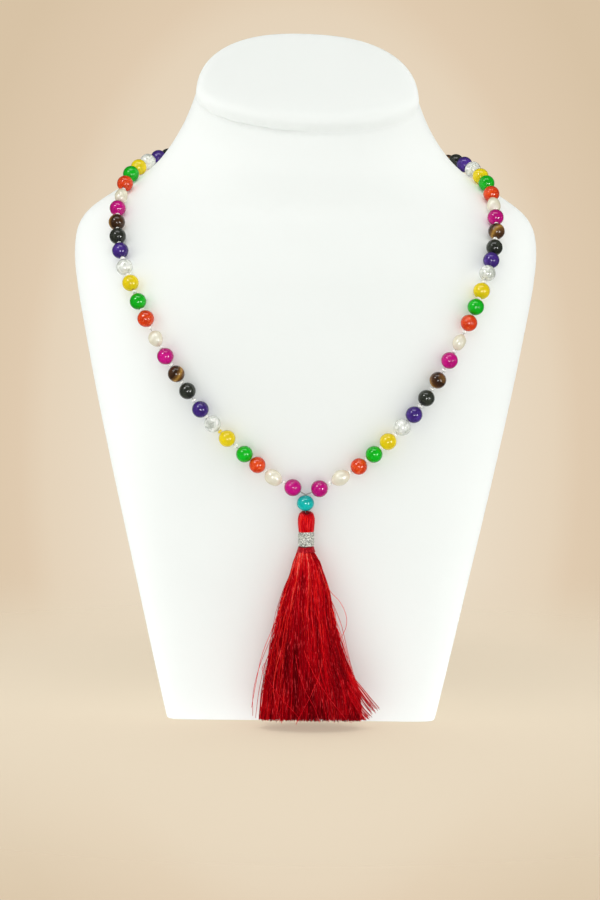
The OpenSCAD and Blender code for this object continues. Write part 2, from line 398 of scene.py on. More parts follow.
def twisted_thread(name, stops):
    """Twisted polyester cord: fine plies with a dull sheen, some fibres lighter than others."""
    material, tree = new_material(name)
    tint = strand_parts(tree)[0]
    place = add(tree, "TexCoord").outputs["Object"]
    # The fibres are far finer than a pixel, so the flecks are drawn 0.4 mm long.
    flecks = noise(tree, place, 2500)
    share = add(tree, "Mix", {0: 0.5, 2: flecks, 3: tint})
    return finished(material, {
        "Base Color": ramp(tree, share, stops), "Normal": bumps(tree, flecks, 0.4, 0.00005),
        "Roughness": 0.6, "Sheen Weight": 0.3, "Sheen Tint": linear(stops[-1][1]),
    })


def silk_floss(name, stops, low, high):
    """Dyed silk floss: fine glossy strands, with painted shade where they lie deep and painted light
    towards the top.
    """
    material, tree = new_material(name)
    tint, along = strand_parts(tree)
    place = add(tree, "TexCoord").outputs["Object"]
    stretched = add(tree, "Mapping", {"Vector": place, "Scale": (1, 1, 0.12)})
    # Single filaments are too fine to show, so the streaks are drawn 0.7 mm wide.
    streaks = noise(tree, stretched, 1400, 3)
    mixed = add(tree, "Mix", {0: 0.3, 2: tint, 3: streaks})
    # Painted light: a strand's colour is raised by high at its top and by low at its lower end.
    fall = ranged(tree, along, (0, 1), (high, low))
    share = add(tree, "Math", {0: mixed, 1: fall}, operation="ADD")
    # Painted glints: pale specks stand for light caught on the crimps, which sit a few millimetres apart on
    # each strand.
    short = add(tree, "Mapping", {"Vector": place, "Scale": (1, 1, 0.15)})
    painted_glint = ranged(tree, noise(tree, short, 1500, 1), (0.6, 0.7), (0, 0.6))
    return finished(material, {
        "Base Color": blend(tree, painted_glint, ramp(tree, share, stops), linear("#FF484C")),
        "Roughness": ranged(tree, streaks, (0, 1), (0.25, 0.45)), "IOR": 1.5,
        "Normal": bumps(tree, streaks, 0.3, 0.0001),
        "Specular IOR Level": 0.3, "Specular Tint": linear("#FF2026"),
    })


def metal_thread(name):
    """Silver metallic thread: thin foil wound on a core, each facet with a brightness of its own, painted
    glitter for the light it catches.
    """
    material, tree = new_material(name)
    place = add(tree, "TexCoord").outputs["Object"]
    # The foil's facets are about 0.4 mm long, drawn at their real size.
    facets = add(tree, "TexVoronoi", {"Vector": place, "Scale": 2600})
    shade = add(tree, "SeparateColor", {0: facets.outputs["Color"]})
    # Painted glitter: each facet's colour runs from dark grey to near white.
    colour = ramp(tree, shade, [
        (0.0, "#5E5E58"), (0.3, "#98988F"), (0.65, "#D2D2C8"), (1.0, "#FFFFF6"),
    ])
    gloss = ranged(tree, shade.outputs[1], (0, 1), (0.25, 0.6))
    relief = bumps(tree, shade.outputs[2], 0.7, 0.0001)
    return finished(material, {"Base Color": colour, "Metallic": 0.3, "Roughness": gloss, "Normal": relief})


def leatherette(name):
    """White polyurethane leatherette over a moulded shell: soft sheen, faint pebble grain."""
    material, tree = new_material(name)
    place = add(tree, "TexCoord").outputs["Object"]
    colour = ramp(tree, noise(tree, place, 9), [(0.3, "#F0F2F0"), (0.7, "#F4F6F4")])
    # The real pebble is about 0.3 mm wide; it is drawn 0.9 mm wide to show at all.
    pebble = add(tree, "TexVoronoi", {"Vector": place, "Scale": 1100}, feature="SMOOTH_F1")
    grain = bumps(tree, pebble, 0.12, 0.0001)
    return finished(material, {
        "Base Color": colour, "Roughness": ranged(tree, pebble, (0, 1), (0.46, 0.58)),
        "Normal": bumps(tree, noise(tree, place, 45), 0.12, 0.001, Normal=grain),
        "Specular IOR Level": 0.1, "Sheen Weight": 0.05,
    })


# Modelling
def object_mode():
    bpy.ops.object.mode_set(mode="OBJECT")


def deselect():
    if bpy.context.object and bpy.context.object.mode != "OBJECT":
        object_mode()
    bpy.ops.object.select_all(action="DESELECT")


def choose(piece, mode, wanted=None):
    """In edit mode, selects the piece's elements that wanted says yes to, or all of them."""
    bpy.context.view_layer.objects.active = piece
    piece.select_set(True)
    bpy.ops.object.mode_set(mode="EDIT")
    bpy.ops.mesh.select_mode(type=mode)
    bpy.ops.mesh.select_all(action="DESELECT")
    object_mode()
    found = {"VERT": piece.data.vertices, "EDGE": piece.data.edges, "FACE": piece.data.polygons}[mode]
    for element in found:
        element.select = wanted is None or bool(wanted(element))
    bpy.ops.object.mode_set(mode="EDIT")


def drill(piece, ring_height, mouth):
    """Opens both poles, joins them by a bore and rounds its two mouths."""
    choose(piece, "FACE", lambda face: abs(face.center.z) > ring_height)
    bpy.ops.mesh.delete(type="FACE")
    bpy.ops.mesh.select_mode(type="EDGE")
    bpy.ops.mesh.select_non_manifold()
    bpy.ops.mesh.bridge_edge_loops()
    object_mode()
    corners = piece.data.vertices

    def at_mouth(edge):
        ends = [corners[i].co for i in edge.vertices]
        level = abs(ends[0].z - ends[1].z) < 1e-7
        return level and all(p.xy.length < mouth * 1.02 for p in ends)

    choose(piece, "EDGE", at_mouth)
    bpy.ops.mesh.bevel(offset=BORE_EDGE * MM, segments=2)
    bpy.ops.mesh.select_all(action="SELECT")
    bpy.ops.mesh.normals_make_consistent(inside=False)
    object_mode()
    bpy.ops.object.shade_smooth_by_angle(angle=SHARP)


def bead_form(width):
    """A round bead, its bore upright."""
    deselect()
    radius = width / 2 * MM
    bpy.ops.mesh.primitive_uv_sphere_add(segments=BEAD_SIDES, ring_count=BEAD_RINGS, radius=radius)
    form = bpy.context.object
    step = math.pi / BEAD_RINGS
    drill(form, radius * math.cos(step * 0.9), radius * math.sin(step))
    return form


def stretch(form, by, wanted=None):
    """Draws a form, or some of its corners, out along its bore."""
    choose(form, "VERT", wanted)
    bpy.ops.transform.resize(value=(1, 1, by))
    object_mode()


def pearl_form():
    """An oval pearl: a round one drawn out along its bore."""
    form = bead_form(PEARL_WIDTH)
    stretch(form, PEARL_LENGTH / PEARL_WIDTH)
    return form


def seed_form():
    """A seed bead: a ring drawn out to a barrel with a flat outside."""
    deselect()
    tube = (SEED_WIDTH - SEED_HOLE) / 4
    bpy.ops.mesh.primitive_torus_add(
        major_radius=(SEED_WIDTH / 2 - tube) * MM, minor_radius=tube * MM,
        major_segments=12, minor_segments=8,
    )
    form = bpy.context.object
    stretch(form, SEED_LENGTH / (2 * tube))
    stretch(form, 1.3, lambda corner: corner.co.xy.length > (SEED_WIDTH / 2 - 0.05) * MM)
    bpy.ops.object.shade_smooth()
    return form


def towards(direction, spin):
    """Turns Z to a direction, after a spin about Z."""
    return Vector(direction).to_track_quat("Z", "Y").to_matrix() @ Matrix.Rotation(spin, 3, "Z")


def write_vectors(mesh, name, values):
    attribute = mesh.attributes.get(name) or mesh.attributes.new(name, "FLOAT_VECTOR", "POINT")
    attribute.data.foreach_set("vector", np.asarray(values, np.float32).ravel())


def points_of(mesh):
    flat = np.zeros(len(mesh.vertices) * 3, np.float32)
    mesh.vertices.foreach_get("co", flat)
    return flat.reshape(-1, 3)


def in_scene(name, data):
    """A new object round its data."""
    made = bpy.data.objects.new(name, data)
    bpy.context.scene.collection.objects.link(made)
    return made


def copied(form, name, centre, direction, size):
    """A copy with its own mesh, its bore along a direction, its place in its mesh."""
    piece = in_scene(name, form.data.copy())
    piece.data.name = name
    tumble = np.array(Vector(rng.normal(size=3)).to_track_quat("Z", "Y").to_matrix())
    shift = rng.uniform(-50, 50, 3)
    write_vectors(piece.data, "grain", points_of(piece.data) / MM @ tumble.T + shift)
    turn = towards(direction, rng.uniform(0, 2 * math.pi)).to_4x4() @ Matrix.Diagonal((*size, 1))
    piece.data.transform(Matrix.Translation(Vector(centre) * MM) @ turn)
    return piece


def applied(piece, modifier):
    deselect()
    bpy.context.view_layer.objects.active = piece
    piece.select_set(True)
    bpy.ops.object.modifier_apply(modifier=modifier.name)


def dented(piece, size, strength, group=""):
    """Gives a piece, or a group of its corners, low bumps by place."""
    clouds = bpy.data.textures.new(piece.name, "CLOUDS")
    clouds.noise_scale = size * MM
    clouds.noise_depth = 1
    push = piece.modifiers.new("dents", "DISPLACE")
    push.texture = clouds
    push.texture_coords = "GLOBAL"
    push.strength = strength * MM
    push.mid_level = 0.5
    push.vertex_group = group
    applied(piece, push)


def joined(pieces, name):
    """Several pieces joined into the first."""
    deselect()
    for piece in pieces:
        piece.select_set(True)
    bpy.context.view_layer.objects.active = pieces[0]
    bpy.ops.object.join()
    pieces[0].name = pieces[0].data.name = name
    return pieces[0]


def unit(v):
    return v / np.linalg.norm(v, axis=-1, keepdims=True)


def tubes(name, lines, radii, sides, tints, start=(0, 1, 0)):
    """One mesh of closed tubes. Lines is tubes by points by 3, in millimetres; radii goes with it."""
    lines = np.asarray(lines, float)
    count, length = lines.shape[:2]
    radii = np.broadcast_to(radii, (count, length))
    ahead = unit(np.gradient(lines, axis=1))
    side = np.broadcast_to(start, (count, 3))
    rings = np.zeros((count, length, sides, 3))
    turns = 2 * np.pi * np.arange(sides) / sides
    for k in range(length):
        side = unit(side - (side * ahead[:, k]).sum(-1, keepdims=True) * ahead[:, k])
        other = np.cross(ahead[:, k], side)
        ring = np.cos(turns)[None, :, None] * side[:, None] + np.sin(turns)[None, :, None] * other[:, None]
        rings[:, k] = lines[:, k, None] + radii[:, k, None, None] * ring
    corner = np.arange(count * length * sides).reshape(count, length, sides)
    after = np.roll(corner, -1, axis=2)
    walls = np.stack([corner[:, :-1], after[:, :-1], after[:, 1:], corner[:, 1:]], axis=-1).reshape(-1, 4)
    ends = np.concatenate([corner[:, 0, ::-1], corner[:, -1]])
    loops = np.concatenate([walls.ravel(), ends.ravel()])
    starts = np.concatenate([np.arange(len(walls)) * 4, len(walls) * 4 + np.arange(len(ends)) * sides])
    mesh = bpy.data.meshes.new(name)
    mesh.vertices.add(corner.size)
    mesh.vertices.foreach_set("co", (rings * MM).astype(np.float32).ravel())
    mesh.loops.add(len(loops))
    mesh.loops.foreach_set("vertex_index", loops.astype(np.int32))
    mesh.polygons.add(len(starts))
    mesh.polygons.foreach_set("loop_start", starts.astype(np.int32))
    mesh.polygons.foreach_set("use_smooth", np.ones(len(starts), bool))
    mesh.update(calc_edges=True)
    mesh.validate()
    strand = np.zeros((count, length, sides, 3))
    strand[..., 0] = np.reshape(tints, (count, -1, 1))
    strand[..., 1] = np.linspace(0, 1, length)[None, :, None]
    strand[..., 2] = rng.random(count)[:, None, None]  # a number of its own
    write_vectors(mesh, "strand", strand)
    return in_scene(name, mesh)


def merged_copy(node, name):
    """A CAD node's copy with its loose triangles joined into one skin."""
    deselect()
    piece = in_scene(name, nodes[node].data.copy())
    piece.data.name = name
    piece.data.materials.clear()
    choose(piece, "VERT")
    bpy.ops.mesh.remove_doubles(threshold=0.01 * MM)
    bpy.ops.mesh.tris_convert_to_quads(face_threshold=math.pi, shape_threshold=math.pi)
    bpy.ops.mesh.customdata_custom_splitnormals_clear()
    object_mode()
    return piece


def shrunk_copy(node, name, depth):
    """A merged copy, drawn in to leave room for what is wound on it."""
    piece = merged_copy(node, name)
    choose(piece, "VERT")
    bpy.ops.mesh.normals_make_consistent(inside=False)
    bpy.ops.transform.shrink_fatten(value=-depth * MM)
    object_mode()
    bpy.ops.object.shade_smooth_by_angle(angle=SHARP)
    # Tint 0 gives a floss-covered core its floss's darkest colour: painted shade in the gaps between
    # strands.
    write_vectors(piece.data, "strand", np.zeros((len(piece.data.vertices), 3)))
    return piece


def hand_in(piece, material, slot, *replaced):
    piece.data.materials.clear()
    piece.data.materials.append(material)
    for polygon in piece.data.polygons:
        polygon.material_index = 0
    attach(piece, "root")
    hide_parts(*replaced)


# Camera, set to the photograph's view
RISE, ROLL = math.radians(5), math.radians(0.6)
BACK = Vector((0, -math.cos(RISE), math.sin(RISE)))
UP = Vector((0, math.sin(RISE), math.cos(RISE)))
RIGHT = math.cos(ROLL) * Vector((1, 0, 0)) + math.sin(ROLL) * UP
TOP = math.cos(ROLL) * UP - math.sin(ROLL) * Vector((1, 0, 0))
LOOKED_AT, DISTANCE = Vector((-1.8, 10, 129.5)), 1300


def camera():
    lens = bpy.data.cameras.new("camera")
    lens.lens, lens.sensor_width = 100, 36
    lens.clip_start, lens.clip_end = 0.05, 50
    holder = in_scene("camera", lens)
    place = (LOOKED_AT + BACK * DISTANCE) * MM
    holder.matrix_world = Matrix.Translation(place) @ Matrix((RIGHT, TOP, BACK)).transposed().to_4x4()
    bpy.context.scene.camera = holder


# Light and floor
LIT = Vector((0, -0.03, 0.16))  # what all lamps are turned to


def area_light(name, place, size, energy, only_gloss=False, fill=False):
    light = bpy.data.lights.new(name, "AREA")
    light.shape = "RECTANGLE"
    light.size, light.size_y = size
    light.energy = energy
    holder = in_scene(name, light)
    holder.location = place
    holder.rotation_euler = (LIT - Vector(place)).to_track_quat("-Z", "Y").to_euler()
    holder.visible_diffuse = not only_gloss
    # A fill stands for light thrown back from all round, so it has no shadow and no highlight
    light.use_shadow = not fill
    holder.visible_glossy = not fill


def paper_glow(tree):
    """Beige paper with a painted pool of light: palest round the bust and deeper towards the corners of the
    picture.
    """
    ahead = add(tree, "TexCoord").outputs["Generated"]
    aside = add(tree, "VectorMath", {0: ahead, 1: RIGHT / 0.104}, operation="DOT_PRODUCT")
    above = add(tree, "VectorMath", {0: ahead, 1: TOP / 0.18}, operation="DOT_PRODUCT")
    away = add(tree, "VectorMath", {0: ahead, 1: -BACK}, operation="DOT_PRODUCT")
    depth = add(tree, "Math", {0: away.outputs["Value"], 1: 0.05}, operation="MAXIMUM")
    place = add(tree, "CombineXYZ", {"X": aside.outputs["Value"], "Y": above.outputs["Value"]})
    reach = add(tree, "VectorMath", {0: place}, operation="LENGTH")
    ratio = add(tree, "Math", {0: reach.outputs["Value"], 1: depth}, operation="DIVIDE")
    glow = ramp(tree, ranged(tree, ratio, (0, 1.5), (0, 1)), [
        (0.0, "#ECDEC8"), (0.4, "#ECDEC8"), (0.53, "#E8D8C1"), (0.65, "#E5D3BA"), (0.72, "#E0CBB0"),
        (0.93, "#D8C3A6"),
    ])
    return add(tree, "Emission", {"Color": glow})


def studio():
    """A beige distance, and soft boxes and fills round the bust."""
    scene = bpy.context.scene
    scene.view_settings.view_transform = "Standard"
    world = bpy.data.worlds.new("studio")
    world.use_nodes = True
    scene.world = world
    tree = world.node_tree
    tree.nodes.clear()
    ray = add(tree, "LightPath")
    seen = paper_glow(tree)
    white, dim = (
        add(tree, "Background", {"Color": linear("#F9FBF7"), "Strength": strength})
        for strength in (0.75, 0.14)
    )
    light = add(tree, "MixShader", {0: ray.outputs["Is Glossy Ray"], 1: white, 2: dim})
    both = add(tree, "MixShader", {0: ray.outputs["Is Camera Ray"], 1: light, 2: seen})
    add(tree, "OutputWorld", {"Surface": both})

    area_light("left_box", (-1.05, -0.75, 0.5), (0.3, 0.4), 0.6)
    area_light("top_box", (-0.05, -0.45, 1.25), (1.0, 0.35), 2.9)
    area_light("left_fill", (-2.0, -0.55, 0.15), (0.8, 0.8), 12, fill=True)
    area_light("right_fill", (2.0, -0.55, 0.15), (0.8, 0.8), 13, fill=True)
    # Bright panes that only glossy things answer to, as the small lamps of the shot
    area_light("left_pane", (-0.82, -0.84, 1.07), (0.24, 0.18), 10, True)
    area_light("near_pane", (0.08, -1.36, 0.12), (0.26, 0.2), 10, True)
    area_light("far_pane", (0.88, -1.0, 0.14), (0.26, 0.2), 11, True)
    area_light("top_pane", (-0.05, -0.46, 1.24), (1.0, 0.32), 4, True)


def pale_floor():
    """A pale sheet of paper that glows round the bust, painted light thrown up at it, and runs out softly
    into the distance.
    """
    deselect()
    bpy.ops.mesh.primitive_circle_add(vertices=128, radius=12, fill_type="NGON", location=(0, 0, -0.0005))
    floor = bpy.context.object
    floor.name = "floor"
    material, tree = new_material("matt_paper")
    place = add(tree, "TexCoord").outputs["Object"]
    matt = add(tree, "BsdfDiffuse", {"Color": linear("#F1F1F0")})
    reach = add(tree, "VectorMath", {0: place}, operation="LENGTH")
    far = reach.outputs["Value"]
    # Painted light: the paper glows white round the bust, fading out by 0.45 m.
    pool = ranged(tree, far, (0, 0.45), (0.45, 0))
    lit = add(tree, "Emission", {"Color": linear("#FFFFFF"), "Strength": pool})
    bright = add(tree, "AddShader", {0: matt, 1: lit})
    # What the camera sees of it
    matt_sheet = add(tree, "BsdfDiffuse", {"Color": linear("#EEDEC7")})
    even = add(tree, "Emission", {"Color": linear("#EBDBC3")})
    sheet = add(tree, "MixShader", {0: 0.5, 1: matt_sheet, 2: even})
    run_out = ranged(tree, far, (0.12, 0.55), (0, 1), interpolation_type="SMOOTHSTEP")
    clear = add(tree, "BsdfTransparent")
    seen = add(tree, "MixShader", {0: run_out, 1: sheet, 2: clear})
    ray = add(tree, "LightPath")
    both = add(tree, "MixShader", {0: ray.outputs["Is Camera Ray"], 1: bright, 2: seen})
    add(tree, "OutputMaterial", {"Surface": both})
    floor.data.materials.append(material)
    floor.visible_glossy = False


# Bust
def above_crease(places):
    """How far places lie above the crease under the lid, square to it."""
    slope, fall = (math.radians(column(SECTIONS, c, CREASE)) for c in (7, 8))
    square = unit(np.array([math.tan(fall), -math.tan(slope), 1]))
    return (places / MM - skin(CREASE, 0)) @ square


def spread(piece, name, shares):
    """A group of corners that each take their own share of a modifier."""
    group = piece.vertex_groups.new(name=name)
    for corner in np.flatnonzero(shares > 0.02):
        group.add([int(corner)], shares[corner], "REPLACE")


def pucker(piece, rise):
    """Small gathers where the lid's cover is drawn into the crease under it."""
    aside = points_of(piece.data)[:, 0] / MM
    spread(piece, "crease", hill(rise, 0.6, 1.5) * np.clip((25 - aside) / 35, 0.1, 1))
    dented(piece, 3.2, 1.5, "crease")
    piece.vertex_groups.clear()


def smooth_side(piece, rise):
    """Fills the crease towards the right, where the cover lies smooth."""
    aside = points_of(piece.data)[:, 0] / MM
    spread(piece, "smooth_side", hill(rise, 0, 0.7) * np.clip((aside + 14) / 22, 0, 1))
    fill = piece.modifiers.new("fill", "DISPLACE")
    fill.mid_level = 0
    fill.strength = 0.8 * MM
    fill.vertex_group = "smooth_side"
    applied(piece, fill)
    piece.vertex_groups.clear()


def bust():
    piece = merged_copy("neck_bust", "bust")
    places = points_of(piece.data)
    foot, crease = places[:, 2] < 0.1 * MM, np.abs(above_crease(places)) < 0.2
    for near, sharpness in ((foot, 0.8), (crease, 0.7)):
        choose(piece, "EDGE", lambda edge: all(near[i] for i in edge.vertices))
        bpy.ops.transform.edge_crease(value=sharpness)
        object_mode()
    smooth = piece.modifiers.new("smooth", "SUBSURF")
    smooth.levels = smooth.render_levels = 2
    applied(piece, smooth)
    rise = above_crease(points_of(piece.data))
    pucker(piece, rise)
    smooth_side(piece, rise)
    bpy.ops.object.shade_smooth()
    hand_in(piece, leatherette("white_leatherette"), "bust_white", "neck_bust")


# Beads: the nine of a run in their order, each with the slot of its stone
RUN = [
    ("magenta", "magenta_stone"), ("pearl", "pearl"), ("orange", "orange_stone"),
    ("green", "green_stone"), ("yellow", "yellow_stone"), ("crystal", "clear_crystal"),
    ("violet", "violet_stone"), ("black", "black_stone"), ("tiger", "tiger_eye"),
]

# Dyed stones: material, its dye from deep to light, size of the clouds and of the veins in millimetres,
# colour and share of the veins, colour of the painted shade at the rim
DYED = {
    "magenta": ["dyed_magenta_agate", "#A8006A #C2007C #D8048E", 5, 3.5, "#E860B0", 0.12, "#6A003C"],
    "orange": ["dyed_orange_agate", "#C62E00 #DA3A02 #EE540E", 4, 2.5, "#FF9E68", 0.4, "#9E1E00"],
    "green": ["dyed_green_agate", "#009C0A #00B414 #08CC26", 6, 4, "#58E868", 0.12, "#006E06"],
    "yellow": ["dyed_yellow_jade", "#DABC00 #E4C800 #EED602", 6, 4, "#FFF27A", 0.08, "#C2B000"],
    "violet": ["dyed_violet_agate", "#2E185E #42267E #56369C", 5, 4, "#6E56C0", 0.2, "#201244"],
    "black": ["polished_onyx", "#1C1E18 #292C25 #3E4238", 6, 5, "#565B4E", 0.3, "#262822"],
    "turquoise": ["dyed_howlite", "#00A4A0 #00B8B0 #08C6BE", 5, 3, "#007F80", 0.4, "#008082"],
}


def stone_materials():
    made = {}
    for stone, (name, dye, *rest) in DYED.items():
        stops = list(zip((0.3, 0.55, 0.75), dye.split()))
        # The guru bead's howlite takes a softer polish than the agates
        made[stone] = polished_stone(name, stops, *rest, 0.22 if stone == "turquoise" else 0.15)
    made["tiger"] = tiger_eye("polished_tiger_eye")
    made["crystal"] = rock_crystal("polished_rock_crystal")
    made["pearl"] = freshwater_pearl("freshwater_pearl")
    return made


def half_length(number):
    """From a bead's centre to the mouth of its bore; the second of each run is the pearl."""
    return (PEARL_LENGTH if number % RUN_BEADS == 2 else BEAD) / 2


def bead_side(side, round_form, pearl, seed, stones, glass, yellow_glass, cord):
    """One side's beads, the seed beads between them and the thread through them."""
    centres = bead_centres(side)
    before = np.vstack([FORK, centres[:-1]])
    after = np.vstack([centres[1:], centres[-1] * 2 - centres[-2]])
    bores = unit(after - before)
    runs = [f"{side}_run_{k}" for k in range(1, 5)]
    thread = [[FORK]]
    seeds = []
    for number in range(1, SIDE_BEADS + 1):
        centre, bore = centres[number - 1], bores[number - 1]
        stone, slot = RUN[(number - 1) % RUN_BEADS]
        name = f"{side}_bead_{number:02d}_{stone}"
        node = runs[(number - 1) // RUN_BEADS]
        # Real beads differ a little in size; one never reaches its neighbour
        below = np.linalg.norm(centre - before[number - 1]) if number > 1 else BEAD + 1
        room = min(below, np.linalg.norm(centres[number] - centre)) - BEAD_AIR
        largest = 1.055 if number == 1 else 1.035
        size = [min(largest, room / BEAD) * rng.uniform(0.985, 1)] * 3
        if stone == "pearl" and number > 2:
            size = rng.uniform((0.86, 0.86, 0.88), (1, 1, 1.02))
        piece = copied(pearl if stone == "pearl" else round_form, name, centre, bore, size)
        if stone == "pearl":
            dented(piece, 5, 0.9)
        hand_in(piece, stones[stone], slot, node)
        reach = half_length(number) + PAST_BORE
        thread.append([centre - reach * bore, centre, centre + reach * bore])
        step = unit(centres[number] - centre)
        near = centre + half_length(number) * step
        far = centres[number] - half_length(number + 1) * step
        has_seed = (far - near) @ step > 1
        if has_seed and not (side == "left" and number == SIDE_BEADS):
            middle = (near + far) / 2 + rng.normal(0, 0.08, 3)
            grain = copied(seed, "seed", middle, step, [rng.uniform(0.94, 1.04)] * 3)
            if side == "left" and number == 5:
                hand_in(grain, yellow_glass, "yellow_stone", node)
                grain.name = grain.data.name = "left_yellow_seed"
            else:
                seeds.append(grain)
    hand_in(joined(seeds, f"{side}_seeds"), glass, "seed_white", *runs)
    meeting = centres[-1] - (half_length(1) + PAST_BORE) * unit(centres[-1] - centres[-2])
    line = np.vstack(thread + [[meeting]])
    hand_in(twist(f"{side}_thread", line), cord, "thread_grey", *runs)


def twist(name, line, plies=3, pitch=2.4, steps=8):
    """A cord of a few plies twisted round a line, a turn to each pitch, in a few steps a turn."""
    length = distances(line)[-1]
    middle = placed(line, np.linspace(0, length, max(3, round(length * steps / pitch) + 1)))
    ahead = unit(np.gradient(middle, axis=0))
    side = np.array([0.3, 0.8, 0.5])
    strands = np.zeros((plies, len(middle), 3))
    for k in range(len(middle)):
        side = unit(side - (side @ ahead[k]) * ahead[k])
        other = np.cross(ahead[k], side)
        for ply in range(plies):
            turn = 2 * math.pi * (k / steps + ply / plies)
            out = math.cos(turn) * side + math.sin(turn) * other
            strands[ply, k] = middle[k] + THREAD_PLY * 1.05 * out
    return tubes(name, strands, THREAD_PLY, 5, rng.uniform(0.3, 0.7, plies))


# Tassel
def around(turns, radius, level, axis=AXIS):
    """Points round an upright axis, the tassel's unless another is named; 0 faces the front."""
    angle = 2 * np.pi * np.asarray(turns)
    level = np.broadcast_to(level, angle.shape)
    return np.stack([axis[0] + radius * np.sin(angle), axis[1] - radius * np.cos(angle), level], axis=-1)


def winding(name, top, height, radius, flare, thick, turns, tints, lean=0):
    """A thread wound round the stem, turn under turn, wider by flare at its lower end."""
    share = np.linspace(0, 1, round(turns * 26) + 1)
    level = top - thick - share * (height - 2 * thick)
    wobble = 0.25 * thick * np.sin(share * 41 + lean)
    line = around(share * turns + lean, radius - thick + flare * share**1.5, level + wobble)
    return tubes(name, [line], thick, 6, tints, (0, 0, 1))


def braid(name, top, height, radius, thick, strands, turns):
    """Fine threads that cross over a winding, half of them each way round."""
    share = np.linspace(0, 1, 29)
    level = top - thick - share * (height - 2 * thick)
    lines = []
    for k in range(strands):
        way = 1 if k % 2 else -1
        ripple = 0.12 * np.sin(share * 2 * np.pi * 5 + k * 1.7)
        lines.append(around(k / strands + way * turns * share, radius + ripple, level))
    return tubes(name, lines, thick, 4, rng.uniform(0.5, 1, strands))


def stem(floss, wrap_floss, silver):
    """The folded head, the silver band below it and the dark red wrap."""
    count, length = 230, 17
    turn = (np.arange(count) + rng.uniform(-0.3, 0.3, count)) / count
    front = hill(np.minimum(turn, 1 - turn), 0, 0.1)
    share = np.linspace(0, 1, length)
    marks, heights, widths = np.array(HEAD).T
    # In front the folded floss drops a little towards the guru bead
    drop = front[:, None] * np.clip((share - 0.5) / 0.5, 0, 1)[None] ** 1.3 * 1.2
    level = BAND_TOP + np.interp(share, marks, heights)[None] - drop
    radius = np.interp(share, marks, widths)[None] - 0.13 + rng.uniform(-0.12, 0.06, count)[:, None]
    sway = turn[:, None] + 0.012 * np.sin(share[None] * 5 + rng.uniform(0, 6, count)[:, None])
    lines = around(sway, radius, level)
    aside = (turn + 0.5) % 1 - 0.5
    # Painted light on the dome's upper left, and painted shade in the recess of the fold in front.
    painted_shine = hill(aside, -0.09, 0.09)[:, None] * hill(share, 0.55, 0.14)
    recess_shade = np.clip((share - 0.62) / 0.2, 0, 1) * hill(aside, 0, 0.14)[:, None]
    tints = np.clip(rng.normal(0.62, 0.12, count)[:, None] + 0.35 * painted_shine - 0.7 * recess_shade, 0.02, 1)
    head = tubes("head_floss", lines, 0.17, 4, tints)
    core = shrunk_copy("tassel_head", "head_core", 0.75)
    hand_in(joined([head, core], "tassel_head_floss"), floss, "tassel_red", "tassel_head")

    coil = winding("coil", BAND_TOP - SEAM, BAND_HEIGHT, BAND_RADIUS, 0.12, 0.3, 13, [0.5])
    cross = braid("cross", BAND_TOP - SEAM, BAND_HEIGHT, BAND_RADIUS + 0.02, 0.13, 22, 0.42)
    core = shrunk_copy("tassel_band", "band_core", 0.4)
    hand_in(joined([coil, cross, core], "tassel_silver_band"), silver, "band_silver", "tassel_band")

    top = BAND_TOP - 2 * SEAM - BAND_HEIGHT
    coil = winding("coil", top, WRAP_HEIGHT, WRAP_RADIUS, WRAP_FLARE, 0.26, 6.5, [0.45])
    under = winding("under", top, WRAP_HEIGHT, WRAP_RADIUS - 0.2, WRAP_FLARE, 0.26, 6.5, [0.3], 0.5)
    core = shrunk_copy("tassel_wrap", "wrap_core", 0.8)
    hand_in(joined([coil, under, core], "tassel_dark_wrap"), wrap_floss, "wrap_red", "tassel_wrap")


def skirt_place(level, turn, depth):
    """A place in the skirt: turn round it from the front, depth 1 at its outside."""
    held = np.clip(level, SKIRT[0][0], SKIRT[-1][0])
    half, middle, front, back = (column(SKIRT, c, held) for c in range(1, 5))
    angle = 2 * np.pi * turn
    x = middle + half * depth * np.sin(angle)
    y = (front + back) / 2 - (back - front) / 2 * depth * np.cos(angle)
    return np.stack([x, y, level], axis=-1)


